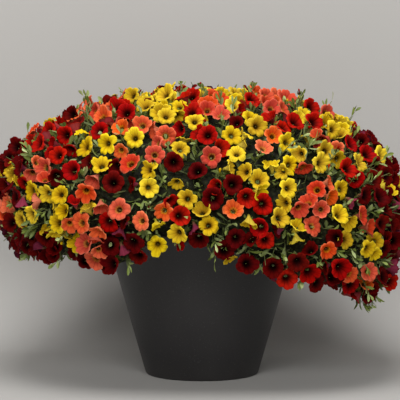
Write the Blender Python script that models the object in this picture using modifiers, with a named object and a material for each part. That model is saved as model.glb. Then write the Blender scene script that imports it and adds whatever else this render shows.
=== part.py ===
# Calibrachoa in its pot: a broad mound of five-lobed trumpet blooms on leafy sprays, which
# grow from five crowns in the soil of a plain tapered pot and hang over its rim.
# Metres, +Z up, origin at the middle of the pot's base, the side seen in the picture at -Y.

import itertools
import math

import bmesh
import bpy
import numpy as np
from mathutils import Matrix, Vector

OBJECT_NAME = "calibrachoa"

# Pot
POT_HEIGHT = 0.225
POT_RIM_R = 0.149
POT_BASE_R = 0.0845
POT_WALL = 0.0045
POT_FLOOR = 0.006
POT_FOOT_ROUND = 0.004
POT_FOOT_CORNER = 0.0012
POT_RIM_ROUND = 0.0012
POT_SIDES = 44

# Soil, with one planting hole for each crown
SOIL_BELOW_RIM = 0.028
SOIL_CROWN = 0.006
SEAT_GAP = 0.0003
CROWNS = 5
CROWN_RING_R = 0.078
HOLE_R = 0.020
HOLE_DEPTH = 0.022
HOLE_SIDES = 10

# Mound that the blooms' faces lie on
MOUND_TOP = 0.424
MOUND_WAIST = 0.248
MOUND_REACH_X = 0.308
MOUND_REACH_Y = 0.280
MOUND_SQUARENESS = 2.2
MOUND_TUCK = 0.16
LOW_EDGE_FRONT = 0.213
LOW_EDGE_DROP = 0.068
LOW_EDGE_FULL_AT = 1.25
MOUND_LEAN = 0.08
LOW_EDGE_LEAN = 0.04
LUMP = 0.034
EDGE_WAVE = 0.011

# Growth
SEED = 41
BLOOMS = 380
SPRAYS = 38
SAMPLES = 14000
DRAWS = 8 * SAMPLES
FIRST_ALONG = 0.02
SPREADING_ROUNDS = 18
FACING_SPREAD = 0.60
FACING_OUT = 1.1
FACING_FRONT = 0.4
FACING_LIFT = 0.10
FACING_LEAST = 0.5
DEPTH_SPREAD = 0.007

# One bloom
LOBES = 5
BLOOM_R = 0.0162
BLOOM_R_SPREAD = 0.0012
BLOOM_CLEARANCE = 0.0005
NOTCH = 0.86
LOBE_DIP = 0.0012
THROAT_DEPTH = 0.0045
NECK_R = 0.0027
NECK_DEPTH = 0.008
NECK_SIDES = 3
TUBE_LENGTH = 0.018
SUNK = 0.002
SINK_STEPS = 40

# Foliage of one spray
CORE_DEPTH = 0.024
CORE_CORNERS = 9
CORE_MARGIN = 0.0025
ASLANT = (0.3, 0.2, 0.9)
STEM_R = 0.0018
STEM_POINTS = 4
STEM_ARCH = 0.345
STEM_ARCH_AT = 0.45
STEM_ARCH_RISE = 0.25
STEM_CLEAR_OF_SOIL = 0.010
FOOT_SPREAD = 0.062
FOOT_APART = 0.0062
FOOT_ROUNDS = 30
FAN_CENTRE = 0.150
FAN_REACH = 0.172
LEAVES = 2
LEAF_LENGTH = 0.024
LEAF_HALF_WIDTH = 0.0026
LEAF_HALF_THICKNESS = 0.0005
LEAF_BELLY = 0.62
LEAF_LEAN = 0.35
GAP_SPACING = 0.016
GAPS_PER_BLOOM = 2

BLOOM_COLOURS = {
    "yellow_bloom": (0.80, 0.56, 0.02),
    "orange_bloom": (0.80, 0.13, 0.04),
    "red_bloom": (0.55, 0.006, 0.008),
    "dark_red_bloom": (0.14, 0.002, 0.010),
}
COLOUR_SHARES = (0.32, 0.26, 0.20, 0.22)
POT_COLOUR = (0.022, 0.023, 0.026)
SOIL_COLOUR = (0.035, 0.022, 0.014)


def clear_scene():
    for old in list(bpy.data.objects):
        bpy.data.objects.remove(old, do_unlink=True)


def material(name, colour, roughness):
    made = bpy.data.materials.new(name)
    made.use_nodes = True
    shader = made.node_tree.nodes["Principled BSDF"]
    shader.inputs["Base Color"].default_value = (*colour, 1.0)
    shader.inputs["Roughness"].default_value = roughness
    shader.inputs["Metallic"].default_value = 0.0
    return made


def object_from(bm, name, collection):
    mesh = bpy.data.meshes.new(name)
    bm.to_mesh(mesh)
    bm.free()
    made = bpy.data.objects.new(name, mesh)
    collection.objects.link(made)
    return made


def turned(name, profile, collection):
    """A solid of revolution about Z, from a profile that runs down its outer side."""
    mesh = bpy.data.meshes.new(name)
    edges = [(i, i + 1) for i in range(len(profile) - 1)]
    mesh.from_pydata([(r, 0.0, z) for r, z in profile], edges, [])
    made = bpy.data.objects.new(name, mesh)
    collection.objects.link(made)
    screw = made.modifiers.new("turn", "SCREW")
    screw.steps = POT_SIDES
    screw.render_steps = POT_SIDES
    screw.use_merge_vertices = True
    screw.merge_threshold = 0.00001
    screw.use_smooth_shade = True
    return made


def wall_r(z):
    """Radius of the pot's outer face at height z."""
    return POT_BASE_R + (POT_RIM_R - POT_BASE_R) * z / POT_HEIGHT


def make_pot(collection):
    profile = [
        (0.0, POT_FLOOR),
        (wall_r(POT_FLOOR) - POT_WALL, POT_FLOOR),
        (POT_RIM_R - POT_WALL, POT_HEIGHT - POT_RIM_ROUND),
        (POT_RIM_R - POT_WALL + POT_RIM_ROUND, POT_HEIGHT),
        (POT_RIM_R - POT_RIM_ROUND, POT_HEIGHT),
        (POT_RIM_R, POT_HEIGHT - POT_RIM_ROUND),
        (wall_r(POT_FOOT_ROUND), POT_FOOT_ROUND),
        (POT_BASE_R - POT_FOOT_CORNER, POT_FOOT_CORNER),
        (POT_BASE_R - POT_FOOT_ROUND, 0.0),
        (0.0, 0.0),
    ]
    pot = turned("pot", profile, collection)
    pot.data.materials.append(material("charcoal_pot", POT_COLOUR, 0.62))
    return pot


def crown_places():
    turn = 2 * math.pi / CROWNS
    return [
        Vector((CROWN_RING_R * math.cos(turn * k), CROWN_RING_R * math.sin(turn * k), 0.0))
        for k in range(CROWNS)
    ]


def soil_level():
    return POT_HEIGHT - SOIL_BELOW_RIM


def make_soil(collection, cutters):
    level = soil_level()
    floor = POT_FLOOR + SEAT_GAP
    profile = [
        (0.0, level + SOIL_CROWN),
        (wall_r(level) - POT_WALL - SEAT_GAP, level),
        (wall_r(floor) - POT_WALL - SEAT_GAP, floor),
        (0.0, floor),
    ]
    soil = turned("soil", profile, collection)
    for number, place in enumerate(crown_places(), 1):
        bpy.ops.mesh.primitive_cylinder_add(
            vertices=HOLE_SIDES, radius=HOLE_R, depth=2 * HOLE_DEPTH, location=place
        )
        cutter = bpy.context.object
        cutter.location.z = hole_floor() + HOLE_DEPTH
        cutter.name = f"planting_hole_{number}"
        for holder in list(cutter.users_collection):
            holder.objects.unlink(cutter)
        cutters.objects.link(cutter)
        cutter.hide_render = True
        cutter.display_type = "WIRE"
        cut = soil.modifiers.new(cutter.name, "BOOLEAN")
        cut.operation = "DIFFERENCE"
        cut.object = cutter
    soil.data.materials.append(material("potting_soil", SOIL_COLOUR, 0.95))
    return soil


def hole_floor():
    return soil_level() - HOLE_DEPTH


def mound_points(azimuth, along):
    """Points of the mound. along is 0 at the top, 1 at the waist and 2 at the lower edge."""
    reach = 1 / np.hypot(np.cos(azimuth) / MOUND_REACH_X, np.sin(azimuth) / MOUND_REACH_Y)
    lump = np.sin(3 * azimuth + 1.9 * along + 0.7) + np.sin(5 * azimuth - 2.3 * along + 2.0)
    reach = reach * (1 + 0.5 * LUMP * lump * np.minimum(1, 2 * along))
    sweep = np.minimum(along, 1) * math.pi / 2
    below = np.maximum(along - 1, 0)
    power = 2 / MOUND_SQUARENESS
    radius = reach * np.sin(sweep) ** power * (1 - MOUND_TUCK * below**2)
    hang = np.sin(np.minimum(1, np.abs(np.cos(azimuth)) / LOW_EDGE_FULL_AT) * math.pi / 2)
    wave = np.sin(7 * azimuth + 1.1) + np.sin(11 * azimuth + 2.6)
    low_edge = LOW_EDGE_FRONT - LOW_EDGE_DROP * hang + 0.5 * EDGE_WAVE * wave
    rise = np.cos(sweep) ** power
    height = MOUND_WAIST + rise * (MOUND_TOP - MOUND_WAIST) - below * (MOUND_WAIST - low_edge)
    lean = MOUND_LEAN * (1 - rise) + LOW_EDGE_LEAN * below
    x = radius * np.cos(azimuth)
    y = radius * np.sin(azimuth)
    return np.stack([x, y, height - lean * x], axis=-1)


def mound_samples(random):
    """Points and outward normals scattered evenly over the mound."""
    azimuth = random.uniform(0, 2 * math.pi, DRAWS)
    along = random.uniform(FIRST_ALONG, 2, DRAWS)
    step = 1e-4
    here = mound_points(azimuth, along)
    down = (mound_points(azimuth, along + step) - here) / step
    round_it = (mound_points(azimuth + step, along) - here) / step
    normal = np.cross(down, round_it)
    area = np.linalg.norm(normal, axis=1)
    kept = random.uniform(0, 1, DRAWS) < area * SAMPLES / area.sum()
    return here[kept], normal[kept] / area[kept, None]


def nearest(points, centres):
    """For each point, which centre is nearest and how far it is."""
    square = sum((points[:, None, axis] - centres[None, :, axis]) ** 2 for axis in range(3))
    owner = square.argmin(axis=1)
    return owner, np.sqrt(square[np.arange(len(points)), owner])


def spread_evenly(points, count):
    """Centres of equal shares of the points, and the share that each point belongs to."""
    picks = [int(points[:, 2].argmax())]
    room = np.full(len(points), np.inf)
    for _ in range(count - 1):
        room = np.minimum(room, np.linalg.norm(points - points[picks[-1]], axis=1))
        picks.append(int(room.argmax()))
    centres = points[picks]
    for _ in range(SPREADING_ROUNDS):
        owner, _ = nearest(points, centres)
        size = np.bincount(owner, minlength=count)
        sums = [np.bincount(owner, points[:, axis], count) for axis in range(3)]
        centres = np.stack(sums, axis=1) / size[:, None]
    owner, _ = nearest(points, centres)
    return centres, owner


def depth_in_share(points, centres):
    """Which centre each point is nearest to, and how far it lies inside that centre's share."""
    square = sum((points[:, None, axis] - centres[None, :, axis]) ** 2 for axis in range(3))
    first, second = np.argsort(square, axis=1)[:, :2].T
    row = np.arange(len(points))
    apart = np.linalg.norm(centres[first] - centres[second], axis=1)
    return first, (square[row, second] - square[row, first]) / (2 * apart)


def corners(points, inward):
    """The furthest of the points in each direction across the spray."""
    across = np.cross(inward, ASLANT)
    across /= np.linalg.norm(across)
    along = np.cross(inward, across)
    turns = [2 * math.pi * k / CORE_CORNERS for k in range(CORE_CORNERS)]
    reach = [points @ (across * math.cos(turn) + along * math.sin(turn)) for turn in turns]
    return [Vector(points[i]) for i in sorted({int(far.argmax()) for far in reach})]


def gap_points(points, faces):
    """Samples that lie furthest from every bloom, each the middle of a gap between blooms."""
    _, room = nearest(points, faces)
    picks = []
    for _ in range(GAPS_PER_BLOOM * len(faces)):
        pick = int(room.argmax())
        picks.append(pick)
        away = np.linalg.norm(points - points[pick], axis=1)
        room[away < GAP_SPACING] = 0
    return picks


def grow():
    """The sprays from the top of the mound down, each a dictionary of its blooms and gaps."""
    random = np.random.RandomState(SEED)
    points, normals = mound_samples(random)
    centres, _ = spread_evenly(points, BLOOMS)
    picks = nearest(centres, points)[0]
    places, outward = points[picks], normals[picks]
    facing = outward + random.normal(0, FACING_SPREAD, (BLOOMS, 3)) / math.sqrt(3)
    facing[:, :2] += FACING_OUT * places[:, :2] / np.linalg.norm(places[:, :2], axis=1)[:, None]
    facing += (0.0, -FACING_FRONT, FACING_LIFT)
    facing /= np.linalg.norm(facing, axis=1)[:, None]
    short = np.maximum(0, FACING_LEAST - (facing * outward).sum(axis=1))
    facing += outward * short[:, None]
    facing /= np.linalg.norm(facing, axis=1)[:, None]
    faces = places + outward * random.uniform(-DEPTH_SPREAD, DEPTH_SPREAD, (BLOOMS, 1))
    radii = BLOOM_R + random.uniform(-BLOOM_R_SPREAD, BLOOM_R_SPREAD, BLOOMS)
    spins = random.uniform(0, 2 * math.pi, BLOOMS)
    feet = places - outward * TUBE_LENGTH
    middles, owner = spread_evenly(feet, SPRAYS)
    apart = np.linalg.norm(faces[:, None] - faces[None], axis=2)
    np.fill_diagonal(apart, 1.0)
    radii = np.minimum(radii, apart.min(axis=1) / 2 - BLOOM_CLEARANCE)
    gaps = gap_points(points, places)
    gap_owner = nearest(points[gaps] - normals[gaps] * TUBE_LENGTH, middles)[0]
    beds = points - normals * TUBE_LENGTH
    bed_owner, bed_depth = depth_in_share(beds, middles)
    sprays = []
    for number, which in enumerate(np.argsort(-middles[:, 2]), 1):
        own = np.flatnonzero(owner == which)
        inward = -outward[own].mean(axis=0)
        inward /= np.linalg.norm(inward)
        middle = Vector(feet[own].mean(axis=0))
        sprays.append(
            {
                "name": f"spray_{number:02d}",
                "middle": middle,
                "inward": Vector(inward),
                "feet": [Vector(feet[i]) for i in own],
                "corners": corners(beds[(bed_owner == which) & (bed_depth > CORE_MARGIN)], inward),
                "blooms": [
                    (Vector(faces[i]), Vector(facing[i]), radii[i], spins[i], Vector(feet[i]))
                    for i in own
                ],
                "gaps": [
                    (Vector(points[g]), Vector(normals[g]))
                    for g, home in zip(gaps, gap_owner)
                    if home == which
                ],
            }
        )
    return sprays, random


def add_core(spray, collection):
    """The dense leafy mass that the spray's blooms stand out of, as a slim shell."""
    bm = bmesh.new()
    for place in spray["feet"] + spray["corners"]:
        bm.verts.new(place)
    bm.verts.new(spray["middle"] + spray["inward"] * CORE_DEPTH)
    hull = bmesh.ops.convex_hull(bm, input=bm.verts)
    loose = [v for v in hull["geom_interior"] if isinstance(v, bmesh.types.BMVert)]
    bmesh.ops.delete(bm, geom=loose, context="VERTS")
    bmesh.ops.recalc_face_normals(bm, faces=bm.faces)
    sides = [(face.normal.copy(), face.verts[0].co.copy()) for face in bm.faces]
    return object_from(bm, spray["name"], collection), sides


def sunk(point, heart, sides):
    """The point moved towards the heart of the core until it lies well inside."""
    for k in range(SINK_STEPS):
        place = point.lerp(heart, k / SINK_STEPS)
        if all((place - on).dot(normal) < -SUNK for normal, on in sides):
            return place
    return heart


def add_bloom(bloom, heart, sides, collection):
    """One trumpet: a five-lobed face, hollowed to its throat, whose tube bends to the core."""
    face, facing, radius, spin, foot = bloom
    root = sunk(foot, heart, sides)
    back = (facing + (face - root).normalized()).normalized()
    turn = facing.to_track_quat("Z", "Y").to_matrix() @ Matrix.Rotation(spin, 3, "Z")
    bend = facing.rotation_difference(back).to_matrix() @ turn
    bm = bmesh.new()
    rim = []
    for k in range(2 * LOBES):
        angle = math.pi * k / LOBES
        reach = radius * (NOTCH if k % 2 else 1.0)
        dip = 0.0 if k % 2 else -LOBE_DIP
        place = Vector((reach * math.cos(angle), reach * math.sin(angle), dip))
        rim.append(bm.verts.new(face + turn @ place))
    neck = []
    for k in range(NECK_SIDES):
        angle = 2 * math.pi * k / NECK_SIDES
        place = Vector((NECK_R * math.cos(angle), NECK_R * math.sin(angle), -NECK_DEPTH))
        neck.append(bm.verts.new(face + bend @ place))
    throat = bm.verts.new(face - back * THROAT_DEPTH)
    end = bm.verts.new(root)
    share = 2 * LOBES / NECK_SIDES
    facets = [round((k + 0.5) / share) % NECK_SIDES for k in range(2 * LOBES)]
    for k, side in enumerate(facets):
        after = rim[(k + 1) % (2 * LOBES)]
        bm.faces.new((throat, rim[k], after))
        bm.faces.new((after, rim[k], neck[side]))
        before = facets[k - 1]
        if side != before:
            bm.faces.new((rim[k], neck[before], neck[side]))
    for k in range(NECK_SIDES):
        bm.faces.new((neck[k], neck[(k + 1) % NECK_SIDES], end))
    bmesh.ops.recalc_face_normals(bm, faces=bm.faces)
    return object_from(bm, "bloom", collection)


def add_leaf(root, tip, across, collection):
    """One narrow leaf, widest past its middle."""
    along = tip - root
    across = across.cross(along).normalized()
    thick = along.cross(across).normalized()
    bm = bmesh.new()
    bmesh.ops.create_uvsphere(bm, u_segments=4, v_segments=2, radius=1.0)
    for vert in bm.verts:
        x, y, z = vert.co
        share = LEAF_BELLY if abs(z) < 0.5 else (z + 1) / 2
        vert.co = (
            root
            + along * share
            + across * (x * LEAF_HALF_WIDTH)
            + thick * (y * LEAF_HALF_THICKNESS)
        )
    return object_from(bm, "leaf", collection)


def plant_feet(sprays):
    """Gives each stem its foot in the nearest crown, on the side that it leans to."""
    crowns = crown_places()
    for spray in sprays:
        heart = spray["middle"] + spray["inward"] * (CORE_DEPTH / 2)
        ground = Vector((heart.x, heart.y, 0.0))
        crown = min(crowns, key=lambda place: (place - ground).length)
        fan = ground.normalized() * math.atan2(ground.length, heart.z - FAN_CENTRE) * FAN_REACH
        spray["heart"] = heart
        spray["crown"] = crowns.index(crown)
        spray["foot"] = crown + (fan - crown) * FOOT_SPREAD
    pairs = [(a, b) for a, b in itertools.combinations(sprays, 2) if a["crown"] == b["crown"]]
    for _ in range(FOOT_ROUNDS):
        for a, b in pairs:
            apart = b["foot"] - a["foot"]
            push = apart.normalized() * max(0.0, FOOT_APART - apart.length) / 2
            a["foot"] = a["foot"] - push
            b["foot"] = b["foot"] + push


def stem_path(spray):
    """Points of the stem, from its planting hole up over the rim and out to the spray."""
    target = spray["heart"]
    ground = Vector((target.x, target.y, 0.0))
    foot = spray["foot"]
    low = soil_level() + STEM_CLEAR_OF_SOIL
    arch = max(STEM_ARCH + STEM_ARCH_RISE * (target.z - soil_level()), target.z)
    points = [Vector((foot.x, foot.y, hole_floor() + SEAT_GAP))]
    for k in range(STEM_POINTS):
        t = k / (STEM_POINTS - 1)
        out = 2 * t * (1 - t) * STEM_ARCH_AT + t * t
        place = foot.lerp(ground, out)
        place.z = (1 - t) ** 2 * low + 2 * t * (1 - t) * arch + t * t * target.z
        points.append(place)
    return points


def add_stem(spray, collection):
    points = stem_path(spray)
    curve = bpy.data.curves.new("stem", "CURVE")
    curve.dimensions = "3D"
    curve.bevel_depth = STEM_R
    curve.bevel_resolution = 0
    curve.use_fill_caps = True
    line = curve.splines.new("POLY")
    line.points.add(len(points) - 1)
    for point, place in zip(line.points, points):
        point.co = (*place, 1.0)
    guide = bpy.data.objects.new("stem", curve)
    collection.objects.link(guide)
    graph = bpy.context.evaluated_depsgraph_get()
    bm = bmesh.new()
    bm.from_mesh(bpy.data.meshes.new_from_object(guide.evaluated_get(graph)))
    bpy.data.objects.remove(guide, do_unlink=True)
    bmesh.ops.remove_doubles(bm, verts=bm.verts, dist=0.00001)
    bmesh.ops.recalc_face_normals(bm, faces=bm.faces)
    return object_from(bm, "stem", collection)


def fuse(base, joined):
    """Joins the collection's objects to base as one solid, and removes them."""
    union = base.modifiers.new("fuse", "BOOLEAN")
    union.operation = "UNION"
    union.operand_type = "COLLECTION"
    union.collection = joined
    union.solver = "MANIFOLD"
    graph = bpy.context.evaluated_depsgraph_get()
    base.data = bpy.data.meshes.new_from_object(base.evaluated_get(graph))
    base.modifiers.clear()
    for piece in list(joined.objects):
        bpy.data.objects.remove(piece, do_unlink=True)


def make_spray(spray, finish, random, collection):
    joined = bpy.data.collections.new(spray["name"] + "_pieces")
    bpy.context.scene.collection.children.link(joined)
    core, sides = add_core(spray, collection)
    heart = spray["heart"]
    for bloom in spray["blooms"]:
        add_bloom(bloom, heart, sides, joined)
    by_distance = sorted(spray["gaps"], key=lambda gap: (gap[0] - spray["middle"]).length)
    for place, normal in by_distance[:LEAVES]:
        lean = Vector(random.normal(0, LEAF_LEAN, 3))
        root = sunk(place - normal * TUBE_LENGTH, heart, sides)
        tip = root + (normal + lean).normalized() * LEAF_LENGTH
        add_leaf(root, tip, lean, joined)
    add_stem(spray, joined)
    fuse(core, joined)
    bpy.data.collections.remove(joined)
    core.data.name = spray["name"]
    core.data.materials.clear()
    core.data.materials.append(finish)
    return core


def main():
    clear_scene()
    scene = bpy.context.scene.collection
    parts = bpy.data.collections.new(OBJECT_NAME)
    cutters = bpy.data.collections.new("cutters")
    scene.children.link(parts)
    scene.children.link(cutters)
    make_pot(parts)
    make_soil(parts, cutters)
    finishes = [material(name, colour, 0.55) for name, colour in BLOOM_COLOURS.items()]
    sprays, random = grow()
    plant_feet(sprays)
    for spray in sprays:
        finish = finishes[random.choice(len(finishes), p=COLOUR_SHARES)]
        make_spray(spray, finish, random, parts)


main()
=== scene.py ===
# Looks of the calibrachoa in its pot. Each leafy spray of the solid model is dressed with fine
# trumpet blooms, calyces, buds, leaves and twigs, which grow by the same rule and stand in the
# same places. Metres, +Z up, the side seen in the picture at -Y.
import itertools
import math

import bmesh
import bpy
import numpy as np
from mathutils import Matrix, Vector


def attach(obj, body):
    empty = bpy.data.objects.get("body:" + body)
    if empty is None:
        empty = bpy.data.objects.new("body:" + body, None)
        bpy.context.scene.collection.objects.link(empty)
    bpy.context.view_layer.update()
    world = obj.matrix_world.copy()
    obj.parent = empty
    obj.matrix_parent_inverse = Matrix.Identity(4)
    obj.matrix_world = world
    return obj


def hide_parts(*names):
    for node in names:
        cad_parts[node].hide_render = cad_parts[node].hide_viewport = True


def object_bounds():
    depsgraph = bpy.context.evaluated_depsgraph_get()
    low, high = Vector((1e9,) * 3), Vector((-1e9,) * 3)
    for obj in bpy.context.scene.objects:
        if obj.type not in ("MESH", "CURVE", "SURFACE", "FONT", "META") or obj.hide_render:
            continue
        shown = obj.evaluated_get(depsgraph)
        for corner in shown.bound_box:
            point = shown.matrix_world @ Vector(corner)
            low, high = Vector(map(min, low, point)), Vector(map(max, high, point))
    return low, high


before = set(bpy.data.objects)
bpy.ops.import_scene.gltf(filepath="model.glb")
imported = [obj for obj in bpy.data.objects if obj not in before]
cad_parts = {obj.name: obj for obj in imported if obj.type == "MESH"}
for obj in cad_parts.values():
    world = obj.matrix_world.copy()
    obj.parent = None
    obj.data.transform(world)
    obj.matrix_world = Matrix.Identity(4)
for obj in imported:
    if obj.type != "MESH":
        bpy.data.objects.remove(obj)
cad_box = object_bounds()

# Pot and soil, as in the solid model
POT_HEIGHT = 0.225
POT_RIM_R = 0.149
POT_BASE_R = 0.0845
POT_WALL = 0.0045
POT_FLOOR = 0.006
POT_FOOT_ROUND = 0.004
SOIL_BELOW_RIM = 0.028
SOIL_CROWN = 0.006
SEAT_GAP = 0.0003
CROWNS = 5
CROWN_RING_R = 0.078
HOLE_DEPTH = 0.022
AXIS_R = 0.00001

# Mound that the blooms' faces lie on, as in the solid model
MOUND_TOP = 0.424
MOUND_WAIST = 0.248
MOUND_REACH_X = 0.308
MOUND_REACH_Y = 0.280
MOUND_SQUARENESS = 2.2
MOUND_TUCK = 0.16
LOW_EDGE_FRONT = 0.213
LOW_EDGE_DROP = 0.068
LOW_EDGE_FULL_AT = 1.25
MOUND_LEAN = 0.08
LOW_EDGE_LEAN = 0.04
LUMP = 0.034
EDGE_WAVE = 0.011

# Growth, as in the solid model
SEED = 41
BLOOMS = 380
SPRAYS = 38
SAMPLES = 14000
DRAWS = 8 * SAMPLES
FIRST_ALONG = 0.02
SPREADING_ROUNDS = 18
FACING_SPREAD = 0.60
FACING_OUT = 1.1
FACING_FRONT = 0.4
FACING_LIFT = 0.10
FACING_LEAST = 0.5
DEPTH_SPREAD = 0.007
BLOOM_R = 0.0162
BLOOM_R_SPREAD = 0.0012
TUBE_LENGTH = 0.018
CORE_DEPTH = 0.024
STEM_ARCH = 0.345
STEM_ARCH_AT = 0.45
STEM_ARCH_RISE = 0.25
STEM_CLEAR_OF_SOIL = 0.010
FOOT_SPREAD = 0.062
FOOT_APART = 0.0062
FOOT_ROUNDS = 30
FAN_CENTRE = 0.150
FAN_REACH = 0.172
GAP_SPACING = 0.016
GAPS_PER_BLOOM = 2

# Fine corolla. Shares run from the throat, 0, to the rim, 1, and heights are in bloom radii
DRESS_SEED = 7
LOBES = 5
LOBE_COLUMNS = 8
LOBE_COLUMNS_HIDDEN = 6
LIMB_SHARES = (0.15, 0.20, 0.28, 0.38, 0.52, 0.67, 0.81, 0.92, 1.0)
LIMB_HEIGHTS = (-0.62, -0.48, -0.36, -0.26, -0.155, -0.07, -0.01, 0.0, -0.045)
TUBE_SHARES = (0.085, 0.10, 0.13)
SINUS_WIDTH = 0.30
BLOOM_FILL = 0.92
TIP_NOTCH = 0.035
TIP_NOTCH_WIDTH = 0.24
CREASE_WIDTH = 0.20
LOBE_SIZE_SPREAD = 0.05
LOBE_BEND_SPREAD = 0.16
LOBE_LIFT_SPREAD = 0.08
SINUS_RANGE = (0.8, 1.25)
RUFFLE_RANGE = (0.6, 1.4)
CUP_RANGE = (0.8, 1.25)
SWAY_RANGE = (0.02, 0.13)
EDGE_GAIN = 1.15
SWELL = 0.070
CREASE_DEPTH = 0.080
MIDLINE_DEPTH = 0.030
RIM_WAVE = 0.024
RIM_WAVES = (15, 25)
SECOND_WAVE = 0.6
TUBE_STRAIGHT = 0.4

# For each colour: depth of the cuts between the lobes, ruffle, and how far the lobes bend back
PETAL_FORMS = {
    "yellow": (0.24, 1.7, 0.26),
    "orange": (0.19, 1.5, 0.20),
    "red": (0.12, 1.15, 0.13),
    "dark_red": (0.13, 1.2, 0.18),
}

# Open blooms: how far their rims rise, and how unevenly they face
OPEN_RISE = (-0.06, 0.16)
WOBBLE = 0.13

# Blooms half hidden in the gaps: their share, depth, size, tilt, rise of the rim and tube
HIDDEN_SHARE = 0.50
HIDDEN_DEPTH = (0.002, 0.009)
HIDDEN_R = (0.0120, 0.0155)
HIDDEN_TILT = (0.3, 1.4)
HIDDEN_RISE = (0.05, 0.60)
HIDDEN_TUBE = 0.021

# Calyx: where the tube meets the throat in bloom radii, least tube length with room for a full
# calyx, its heights and radii, and its sepals
THROAT_FOOT = 0.6
CALYX_ROOM = 0.0083
CALYX_HEIGHTS = (-0.0025, 0.0, 0.003, 0.0052)
CALYX_RADII = (0.0007, 0.0018, 0.0021, 0.0022)
SEPAL_HEIGHT = 0.0045
SEPAL_ROOT_R = 0.0019
SEPAL_SPREAD = (0.6, 1.0)
SEPAL_LENGTHS = (0.005, 0.008)

# Pistil: depth in the throat in bloom radii, heights and radii
PISTIL_DEPTH = 0.50
PISTIL_HEIGHTS = (-0.0012, -0.0006, 0.0004, 0.0010)
PISTIL_RADII = (0.0002, 0.0006, 0.0006, 0.0001)

# Closed buds: rolled petals, and a calyx of their own
BUD_SHARE = 0.14
BUD_SINK = 0.002
BUD_LENGTHS = (0.009, 0.015)
BUD_RADII = (0.0012, 0.0018)
BUD_SHARES = (0.0, 0.25, 0.6, 0.85, 0.97, 1.0)
BUD_WIDTHS = (0.5, 0.6, 0.85, 1.15, 0.7, 0.1)
BUD_TILT = (0.2, 0.7)
BUD_CUP_HEIGHTS = (-0.002, 0.0, 0.0035)
BUD_CUP_RADII = (0.0005, 0.0013, 0.0013)
BUD_SEPAL_HEIGHT = 0.003
BUD_SEPAL_ROOT_R = 0.0012
BUD_SEPAL_SPREAD = 0.3
BUD_SEPAL_LENGTHS = (0.004, 0.007)

# Leaves, and the shaded mass behind them
LEAF_STATIONS = (0.0, 0.32, 0.64, 0.87)
LEAF_WIDTHS = (0.14, 0.62, 1.0, 0.66)
LEAF_FOLD = 0.35
LEAF_LENGTHS = (0.012, 0.022)
LEAF_HALF_WIDTHS = (0.0018, 0.0031)
LEAF_CURL = (-0.1, 0.38)
LEAF_TEST_POINTS = [1, 4, 7, 10, 12]
CLEAR_BEHIND = 0.003
CLEAR_AHEAD = 0.020
CLEAR_R = 0.92
THROAT_R = 0.45
THROAT_DEPTH = 0.7
THICKET_DEPTHS = (0.023, 0.032)
THICKET_STEP = 3
THICKET_OVERLAP = 1.20
THICKET_LUMP = 0.002
THICKET_WAVES = (900, 700)

# Leaves among the blooms and behind them: count, depths, tilts, stretch, depth of full shade,
# and whether those that would cross a bloom are left out
LEAF_LAYERS = (
    (150, (0.006, 0.021), (0.2, 1.3), 1.0, 0.024, True),
    (80, (0.020, 0.042), (0.9, 2.2), 1.15, 0.020, False),
)

# Shoot tips: depth of the foot, length, how much longer a few are, lean and leaves
SHOOT_DEPTH = (0.017, 0.021)
SHOOT_LENGTHS = (0.012, 0.022)
LONG_SHOOT = 0.017
LONG_SHOOT_SHARE = 0.2
SHOOT_LEAN = 0.22
SHOOT_RADII = (0.0010, 0.0009, 0.0008, 0.0005)
SHOOT_BEND = 0.7
TUFT_LEAVES = 8

# Leaves of a tuft: unevenness of their heights and tilts, and tilt, length and depth of shade at
# its foot, with how much less they are at its top
TUFT_JITTER = 0.05
TUFT_TILT_JITTER = 0.15
TUFT_TILT = (1.25, 0.85)
TUFT_STRETCH = (1.05, 0.35)
TUFT_SHADE = 0.8

# Stems and the stalks of the blooms
STEM_POINTS = 14
STEM_RADII = (0.0020, 0.0011)
STALK_RADII = (0.0009, 0.0008, 0.0007)
STALK_BEND = 0.4
STALK_SWING = 0.05
STALK_SINK = 0.1

# Crumbs of bark on the soil
CRUMBS = 420
CRUMB_LENGTHS = (0.0015, 0.005)
CRUMB_THICKNESS = (0.2, 0.45)
CRUMB_HEIGHTS = (-0.5, -0.3, 0.25, 0.5)
CRUMB_WIDTHS = (0.02, 0.8, 1.0, 0.05)

# Roughness of the soil: wave numbers and heights, their gain, and the rough share of its radius
SOIL_ROUGHNESS = ((60, 0.0022), (170, 0.0012), (420, 0.0007))
SOIL_SWELL = 0.45
SOIL_ROUGH_SHARE = 0.985

# Picture frame, in its pixels, and the camera that gives it, in metres
FRAME_PX = 400
CAMERA_PLACE = (-0.003, -2.6, 0.42)
CAMERA_PITCH = math.radians(3.5)
FOCAL_PX = 1734
SENSOR = 36.0
PATCH_REACH_PX = 13

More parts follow.
